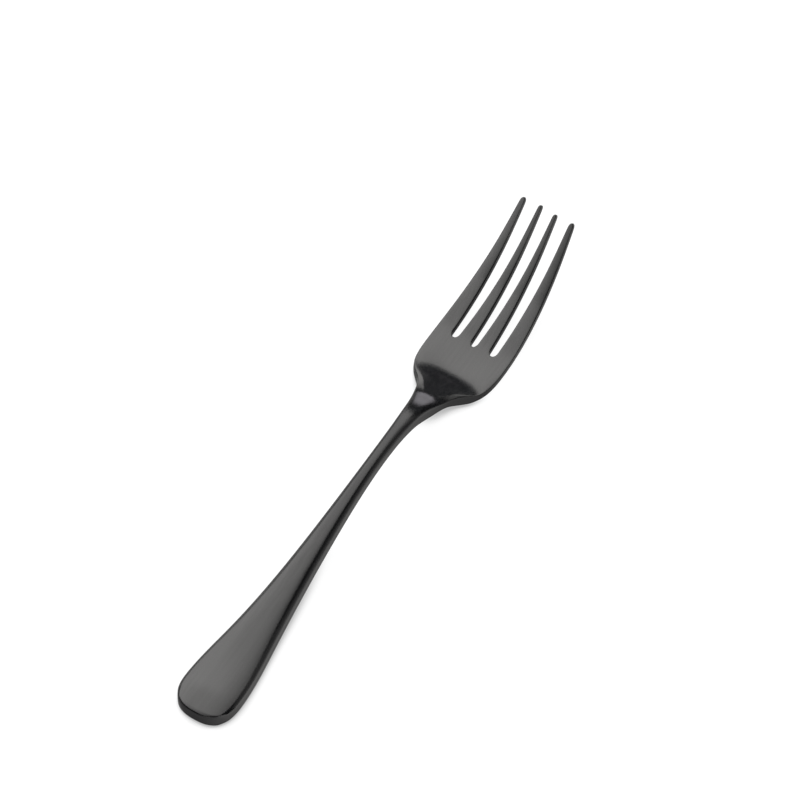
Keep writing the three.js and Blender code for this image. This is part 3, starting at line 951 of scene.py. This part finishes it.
# %% Make the table glow where it is seen
def combined(operation, first, second):
    """The output of a Math node that joins two outputs."""
    node = nodes.new("ShaderNodeMath")
    node.operation = operation
    links.new(first, node.inputs[0])
    links.new(second, node.inputs[1])
    return node.outputs["Value"]


path = nodes.new("ShaderNodeLightPath")
seen_or_mirrored = combined("MAXIMUM", path.outputs["Is Camera Ray"], path.outputs["Is Glossy Ray"])
seen = combined("MAXIMUM", seen_or_mirrored, path.outputs["Is Transmission Ray"])
links.new(combined("MULTIPLY", seen, glow.outputs["Result"]), top.inputs["Emission Strength"])
print("the table top has", len(nodes), "nodes")

# %% [markdown]
# Light
#
# Steel looks like what it mirrors, so the lamps are placed as areas of tone and not as beams. Softboxes
# hang level over the left, and the flat top mirrors them and looks grey. The right sides of the handle
# and the neck lean towards the right of the room, which is kept dim, and look dark. Cards and walls
# keep the other sides from going black, and a low oval card behind the fork makes the light patch where
# the neck plunges into the head. A picture of a studio could light the fork too, but lamps can be set
# one by one.

# %% Hang the softboxes
CEILING = 1.0


def softbox(name, middle, size, brightness, faced=None, roll=0.0, shape="RECTANGLE"):
    """A lamp of even brightness. It hangs level, or faces a place on its own level."""
    bpy.ops.object.light_add(type="AREA", location=middle)
    lamp = bpy.context.object
    lamp.name = name
    lamp.data.shape = shape
    lamp.data.size, lamp.data.size_y = size
    area = size[0] * size[1] * (math.pi / 4 if shape == "ELLIPSE" else 1)
    lamp.data.energy = brightness * math.pi * area
    if faced:
        facing = (Vector(middle) - Vector(faced)).to_track_quat("Z", "Y")
        lamp.rotation_euler = (facing @ Quaternion((0, 0, 1), roll)).to_euler()
    return lamp


softbox("left_softbox", middle=(-1.31, 0.305, CEILING), size=(1.38, 3.01), brightness=1.68)
softbox("far_softbox", middle=(-0.42, 0.91, CEILING), size=(0.40, 0.92), brightness=1.75)
softbox("overhead_softbox", middle=(-0.42, 0.15, CEILING), size=(0.40, 0.60), brightness=1.3)
softbox("front_softbox", middle=(-0.42, -0.375, CEILING), size=(0.40, 0.45), brightness=1.05)
softbox("low_front_softbox", middle=(-0.42, -1.0, CEILING), size=(0.40, 0.80), brightness=0.85)
softbox("right_strip", middle=(-0.055, 0.415, CEILING), size=(0.33, 1.13), brightness=1.15)
softbox("right_front_strip", middle=(-0.055, -0.7, CEILING), size=(0.33, 1.1), brightness=0.55)
print("the softboxes hang", CEILING, "m above the table")

# %% Add the cards and the walls
FAR_WALL_COLOUR = (0.88, 0.95, 1.1)

softbox("left_card", middle=(-2.0, 1.4, 0.7), size=(2.0, 0.6), brightness=1.5, faced=(0.0, 1.4, 0.7))
softbox("right_fill", middle=(0.32, 0.85, CEILING), size=(0.36, 0.6), brightness=0.35)
far_wall = softbox(
    "far_wall", middle=(-0.55, 1.6, 0.84), size=(1.6, 0.24), brightness=0.10, faced=(-0.55, 0.0, 0.84)
)
far_wall.data.color = FAR_WALL_COLOUR
softbox("right_ceiling", middle=(1.55, 1.15, CEILING), size=(2.1, 1.2), brightness=0.14)
softbox("front_wall", middle=(1.1, -1.4, 0.5), size=(3.4, 0.9), brightness=1.2, faced=(0.0, 0.0, 0.5))
softbox("right_wall", middle=(1.8, 1.5, 0.36), size=(1.8, 0.6), brightness=0.3, faced=(0.0, 1.5, 0.36))
print("the far wall has the colour", far_wall.data.color[:])

# %% Add the oval card
CARD_ROLL = math.radians(-20)
CARD_COLOUR = (1.0, 0.975, 1.06)

oval_card = softbox(
    "low_far_card",
    middle=(-0.59, 1.6, 0.25),
    size=(0.78, 0.37),
    brightness=2.25,
    faced=(-0.59, 0.0, 0.25),
    roll=CARD_ROLL,
    shape="ELLIPSE",
)
oval_card.data.color = CARD_COLOUR

# %% Dim the room
ROOM_COLOUR = (0.80, 0.88, 1.0)
ROOM_STRENGTH = 0.035

world = bpy.data.worlds.new("dim_studio")
bpy.context.scene.world = world
world.use_nodes = True
world.node_tree.nodes["Background"].inputs["Color"].default_value = (*ROOM_COLOUR, 1)
world.node_tree.nodes["Background"].inputs["Strength"].default_value = ROOM_STRENGTH
bpy.context.scene.view_settings.view_transform = "Standard"
print("the room is lit by", world.name)
